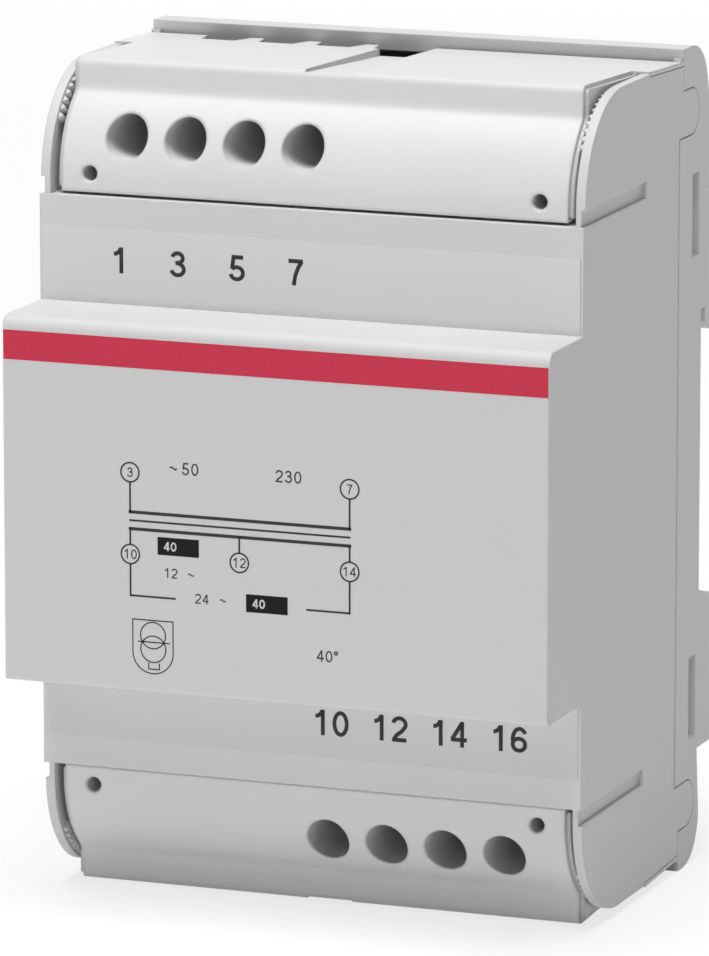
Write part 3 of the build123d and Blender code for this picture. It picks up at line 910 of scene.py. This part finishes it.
@dataclass
class FrontLabel:
    """Printed film on the nose, with a red band and the circuit of the windings."""

    node: str = "front_label"
    print_thickness: float = 0.015
    film_corner: float = 0.25
    film_corner_segments: int = 4
    film_bottom: float = -22.05
    band_bottom: float = 17.18
    band_corner: float = 0.02
    circuit_left: float = -18.42
    circuit_middle: float = -4.31
    circuit_right: float = 9.84
    primary_terminals: float = 4.42
    secondary_terminals: float = -5.63
    primary_line: float = -0.43
    screen_line: float = -1.46
    secondary_line: float = -2.49
    foot_line: float = -10.7
    foot_left_end: float = -12.67
    foot_right_end: float = 4.41
    terminal_radius: float = 1.28
    terminal_figures: float = 1.2
    thin_line: float = 0.2
    lead_line: float = 0.24
    thick_line: float = 0.4
    fine_figures: Figures = Figures(weight=0.125)
    ratings: tuple[tuple[str, Point, float], ...] = (
        ("~ 50", (-11.45, 5.33), 1.5),
        ("230", (2.0, 5.35), 1.5),
        ("12", (-13.15, -7.6), 1.22),
        ("~", (-10.55, -7.6), 1.22),
        ("24", (-9.15, -10.45), 1.22),
        ("~", (-6.45, -10.42), 1.22),
        ("40°", (6.95, -16.2), 1.42),
    )
    box_size: Point = (5.36, 2.19)
    boxes: tuple[Point, ...] = ((-12.2, -4.34), (-0.78, -10.48))
    box_text: str = "40"
    box_text_shift: float = -1.08
    box_text_height: float = 1.12
    bold_figures: Figures = Figures(weight=0.18)
    plate_low: Point = (-18.23, -20.24)
    plate_high: Point = (-12.85, -13.52)
    plate_rings: tuple[Point, ...] = ((-15.53, -15.46), (-15.5, -17.15))
    plate_ring_radius: float = 1.7
    plate_bar: tuple[Point, Point] = ((-17.45, -16.3), (-13.4, -16.3))
    plate_foot: tuple[Point, ...] = (
        (-16.1, -18.9),
        (-16.1, -19.62),
        (-14.72, -19.62),
        (-14.72, -18.9),
    )
    plate_line: float = 0.15

    def build(self) -> None:
        """Make the film and everything printed on it."""
        low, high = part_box(self.node)
        self._film(low, high)
        self._band(low, high)
        self._circuit()
        self._rating_boxes()

    def _face(self) -> float:
        """Find the film's face in metres, as far behind the node's as the print is thick."""
        low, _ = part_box(self.node)
        return low[1] + self.print_thickness * MM

    def _film(self, low: Place, high: Place) -> None:
        """Make the bare film, which reaches lower than the node that it stands for.

        Args:
            low: The node's lowest corner in metres.
            high: The node's highest corner in metres.
        """
        film = add_block("label_sheet", (low[0], self._face(), self.film_bottom * MM), high)
        through = self.print_thickness * MM
        pick_edges(film.data, lambda first, second: abs(first.y - second.y) > through)
        bpy.ops.mesh.bevel(
            affect="EDGES", offset=self.film_corner * MM, segments=self.film_corner_segments
        )
        bpy.ops.object.mode_set(mode="OBJECT")
        film.data.materials.append(LABEL_GREY.material())
        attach(film, HOUSING_BODY)
        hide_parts(self.node)
        LOG.info("made %s", film.name)

    def _band(self, low: Place, high: Place) -> None:
        """Print the red band along the film's upper edge.

        Args:
            low: The node's lowest corner in metres.
            high: The node's highest corner in metres.
        """
        band = FlatPrint(
            "label_band", Ink.RED, self._face(), self.print_thickness, self.band_corner
        )
        band.bar((low[0] / MM, self.band_bottom), (high[0] / MM, high[2] / MM))
        band.stand()

    def _circuit(self) -> None:
        """Print the windings with their terminals, plain numbers and the plate symbol."""
        left, middle, right = self.circuit_left, self.circuit_middle, self.circuit_right
        top, bottom, radius = self.primary_terminals, self.secondary_terminals, self.terminal_radius
        sheet = FlatPrint("label_circuit", Ink.DARK, self._face(), self.print_thickness)
        for text, x, y in (
            ("3", left, top),
            ("7", right, top),
            ("10", left, bottom),
            ("12", middle, bottom),
            ("14", right, bottom),
        ):
            sheet.ring((x, y), radius, self.thin_line)
            sheet.number(text, (x, y), self.terminal_figures, self.fine_figures)
        for y, width in (
            (self.primary_line, self.thick_line),
            (self.screen_line, self.lead_line),
            (self.secondary_line, self.thick_line),
        ):
            sheet.line((left, y), (right, y), width)
        for x in (left, right):
            sheet.line((x, top - radius), (x, self.primary_line), self.lead_line)
            sheet.line((x, bottom - radius), (x, self.foot_line), self.lead_line)
        for x in (left, middle, right):
            sheet.line((x, self.secondary_line), (x, bottom + radius), self.lead_line)
        for start, end in ((left, self.foot_left_end), (self.foot_right_end, right)):
            sheet.line((start, self.foot_line), (end, self.foot_line), self.lead_line)
        for text, place, height in self.ratings:
            sheet.number(text, place, height, self.fine_figures)
        self._plate_symbol(sheet)
        sheet.stand()

    def _plate_symbol(self, sheet: FlatPrint) -> None:
        """Draw the two linked windings in their plate.

        Args:
            sheet: The print that they are drawn on.
        """
        sheet.shield(self.plate_low, self.plate_high, self.plate_line)
        for centre in self.plate_rings:
            sheet.ring(centre, self.plate_ring_radius, self.plate_line)
        sheet.line(*self.plate_bar, self.plate_line)
        for start, end in zip(self.plate_foot, self.plate_foot[1:]):
            sheet.line(start, end, self.plate_line)

    def _rating_boxes(self) -> None:
        """Print the two black boxes and the white numbers in them."""
        boxes = FlatPrint("label_boxes", Ink.BLACK, self._face(), self.print_thickness / 2)
        figures = FlatPrint("label_figures", Ink.WHITE, self._face(), self.print_thickness)
        half_width, half_height = self.box_size[0] / 2, self.box_size[1] / 2
        for x, y in self.boxes:
            boxes.bar((x - half_width, y - half_height), (x + half_width, y + half_height))
            place = (x + self.box_text_shift, y)
            figures.number(self.box_text, place, self.box_text_height, self.bold_figures)
        boxes.stand()
        figures.stand()


@dataclass(frozen=True)
class NumberRow:
    """One shoulder film and its terminal numbers, each with its place across."""

    node: str
    film: PrintedFilm
    print_name: str
    height: float
    numbers: tuple[tuple[str, float], ...]


@dataclass
class NumberStrips:
    """Shoulder films with the numbers of the terminals; the upper film holds painted light and the
    lower film painted shade.
    """

    digit_height: float = 3.2
    figures: Figures = Figures(weight=0.158)
    rows: tuple[NumberRow, ...] = (
        NumberRow(
            node="upper_number_label",
            film=UPPER_NUMBER_FILM_PAINTED_LIGHT,
            print_name="upper_terminal_numbers",
            height=27.92,
            numbers=(("1", -24.75), ("3", -16.9), ("5", -9.2), ("7", -1.6)),
        ),
        NumberRow(
            node="lower_number_label",
            film=LOWER_NUMBER_FILM_PAINTED_SHADE,
            print_name="lower_terminal_numbers",
            height=-27.33,
            numbers=(("10", 2.92), ("12", 10.6), ("14", 18.3), ("16", 25.9)),
        ),
    )

    def build(self) -> None:
        """Dress both films and print their numbers."""
        for row in self.rows:
            dress((row.node,), row.film)
            low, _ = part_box(row.node)
            sheet = FlatPrint(row.print_name, Ink.DARK, low[1])
            for text, x in row.numbers:
                sheet.number(text, (x, row.height), self.digit_height, self.figures)
            sheet.stand()


@dataclass(frozen=True)
class SoftLamp:
    """Flat studio lamp that points at the object, in metres and watts."""

    name: str
    place: Place
    size: Point
    power: float

    def hang(self) -> None:
        """Hang the lamp where the camera does not see it."""
        lamp = bpy.data.lights.new(self.name, "AREA")
        lamp.shape = "RECTANGLE"
        lamp.size, lamp.size_y = self.size
        lamp.energy = self.power
        holder = bpy.data.objects.new(self.name, lamp)
        holder.location = self.place
        holder.rotation_euler = Vector(self.place).to_track_quat("Z", "Y").to_euler()
        holder.visible_camera = False
        bpy.context.scene.collection.objects.link(holder)


@dataclass
class Studio:
    """Pale floor, soft light, white surroundings and the camera."""

    azimuth: float = 20.958
    elevation: float = 11.635
    camera_right: float = 9.77
    camera_up: float = 4.964
    camera_distance: float = 985.63
    focal_pixels: float = 8254.1
    image_width: float = 709.0
    sensor: float = 36.0
    floor_metres: float = 8.0
    floor_colour: Rgb = (250, 250, 250)
    floor_patch: float = 400.0
    floor_shade: float = 0.995
    floor_roughness: float = 0.9
    floor_specular: float = 0.1
    floor_glow: float = 0.75
    ambient: float = 0.05
    lamps: tuple[SoftLamp, ...] = (
        SoftLamp("key_light", place=(0.0, -0.42, 2.0), size=(1.2, 1.2), power=48.0),
        SoftLamp("front_fill", place=(-0.25, -0.9, 0.01), size=(1.2, 0.12), power=2.0),
        SoftLamp("rear_fill", place=(-0.25, 0.9, 0.01), size=(1.2, 0.12), power=1.6),
    )

    def build(self) -> None:
        """Make the whole studio."""
        bpy.context.scene.view_settings.view_transform = "Standard"
        self._floor()
        self._surroundings()
        for lamp in self.lamps:
            lamp.hang()
        self._camera()

    def _floor(self) -> None:
        """Lay a plain floor at the lowest point of the object."""
        bpy.ops.object.select_all(action="DESELECT")
        bpy.ops.mesh.primitive_plane_add(size=self.floor_metres, location=(0, 0, CAD_BOX[0][2]))
        floor = bpy.context.view_layer.objects.active
        floor.name = "studio_floor"
        sheet = NodeSheet("studio_floor")
        sheet.tint(sheet.noise(self.floor_patch), self.floor_colour, self.floor_shade)
        sheet.set_level(Level.ROUGHNESS, self.floor_roughness)
        sheet.set_level(Level.SPECULAR, self.floor_specular)
        tree = sheet.tree
        glow = tree.nodes.new("ShaderNodeEmission")
        share = tree.nodes.new("ShaderNodeMath")
        share.operation = "MULTIPLY"
        share.inputs[1].default_value = self.floor_glow
        mix = tree.nodes.new("ShaderNodeMixShader")
        tree.links.new(self._seen(tree), share.inputs[0])
        tree.links.new(share.outputs[0], mix.inputs[0])
        tree.links.new(sheet.shader.outputs[0], mix.inputs[1])
        tree.links.new(glow.outputs[0], mix.inputs[2])
        tree.links.new(mix.outputs[0], tree.nodes["Material Output"].inputs["Surface"])
        floor.data.materials.append(sheet.material)

    def _seen(self, tree: bpy.types.NodeTree) -> bpy.types.NodeSocket:
        """Tell rays that show the surroundings from rays that only carry light.

        Args:
            tree: The nodes of the floor's material or of the world.

        Returns:
            1 for the camera, reflections and what shows through glass, else 0.
        """
        path = tree.nodes.new("ShaderNodeLightPath")
        seen = path.outputs["Is Camera Ray"]
        for kind in ("Is Glossy Ray", "Is Transmission Ray"):
            either = tree.nodes.new("ShaderNodeMath")
            either.operation = "MAXIMUM"
            tree.links.new(seen, either.inputs[0])
            tree.links.new(path.outputs[kind], either.inputs[1])
            seen = either.outputs[0]
        return seen

    def _surroundings(self) -> None:
        """Make the world white where it is seen and softly bright where it lights."""
        world = bpy.data.worlds.new("studio_world")
        bpy.context.scene.world = world
        world.use_nodes = True
        tree = world.node_tree
        seen = tree.nodes["Background"]
        lighting = tree.nodes.new("ShaderNodeBackground")
        for background, strength in ((seen, 1.0), (lighting, self.ambient)):
            background.inputs["Color"].default_value = WHITE_LIGHT
            background.inputs["Strength"].default_value = strength
        mix = tree.nodes.new("ShaderNodeMixShader")
        tree.links.new(self._seen(tree), mix.inputs[0])
        tree.links.new(lighting.outputs[0], mix.inputs[1])
        tree.links.new(seen.outputs[0], mix.inputs[2])
        tree.links.new(mix.outputs[0], tree.nodes["World Output"].inputs["Surface"])

    def _camera(self) -> None:
        """Place the camera at the photograph's viewing angle."""
        azimuth, elevation = math.radians(self.azimuth), math.radians(self.elevation)
        right = Vector((math.cos(azimuth), math.sin(azimuth), 0))
        level = Vector((math.sin(azimuth), -math.cos(azimuth), 0))
        back = level * math.cos(elevation) + Vector((0, 0, math.sin(elevation)))
        up = back.cross(right)
        place = Vector((0, CAD_BOX[0][1], 0))
        place += right * self.camera_right * MM + up * self.camera_up * MM
        place += back * self.camera_distance * MM
        lens = bpy.data.cameras.new("photo_camera")
        lens.sensor_fit = "HORIZONTAL"
        lens.sensor_width = self.sensor
        lens.lens = self.focal_pixels * self.sensor / self.image_width
        camera = bpy.data.objects.new("photo_camera", lens)
        matrix = Matrix((right, up, back)).transposed().to_4x4()
        matrix.translation = place
        camera.matrix_world = matrix
        bpy.context.scene.collection.objects.link(camera)
        bpy.context.scene.camera = camera


def main() -> None:
    """Dress the object, print its films and set up the studio."""
    logging.basicConfig(level=logging.INFO, format="%(message)s")
    assemblies = (
        Housing(),
        TerminalCovers(),
        RailClips(),
        Terminals(),
        CoreAndCoil(),
        FrontLabel(),
        NumberStrips(),
        Studio(),
    )
    for assembly in assemblies:
        LOG.info("building %s", type(assembly).__name__)
        assembly.build()


if __name__ == "__main__":
    main()
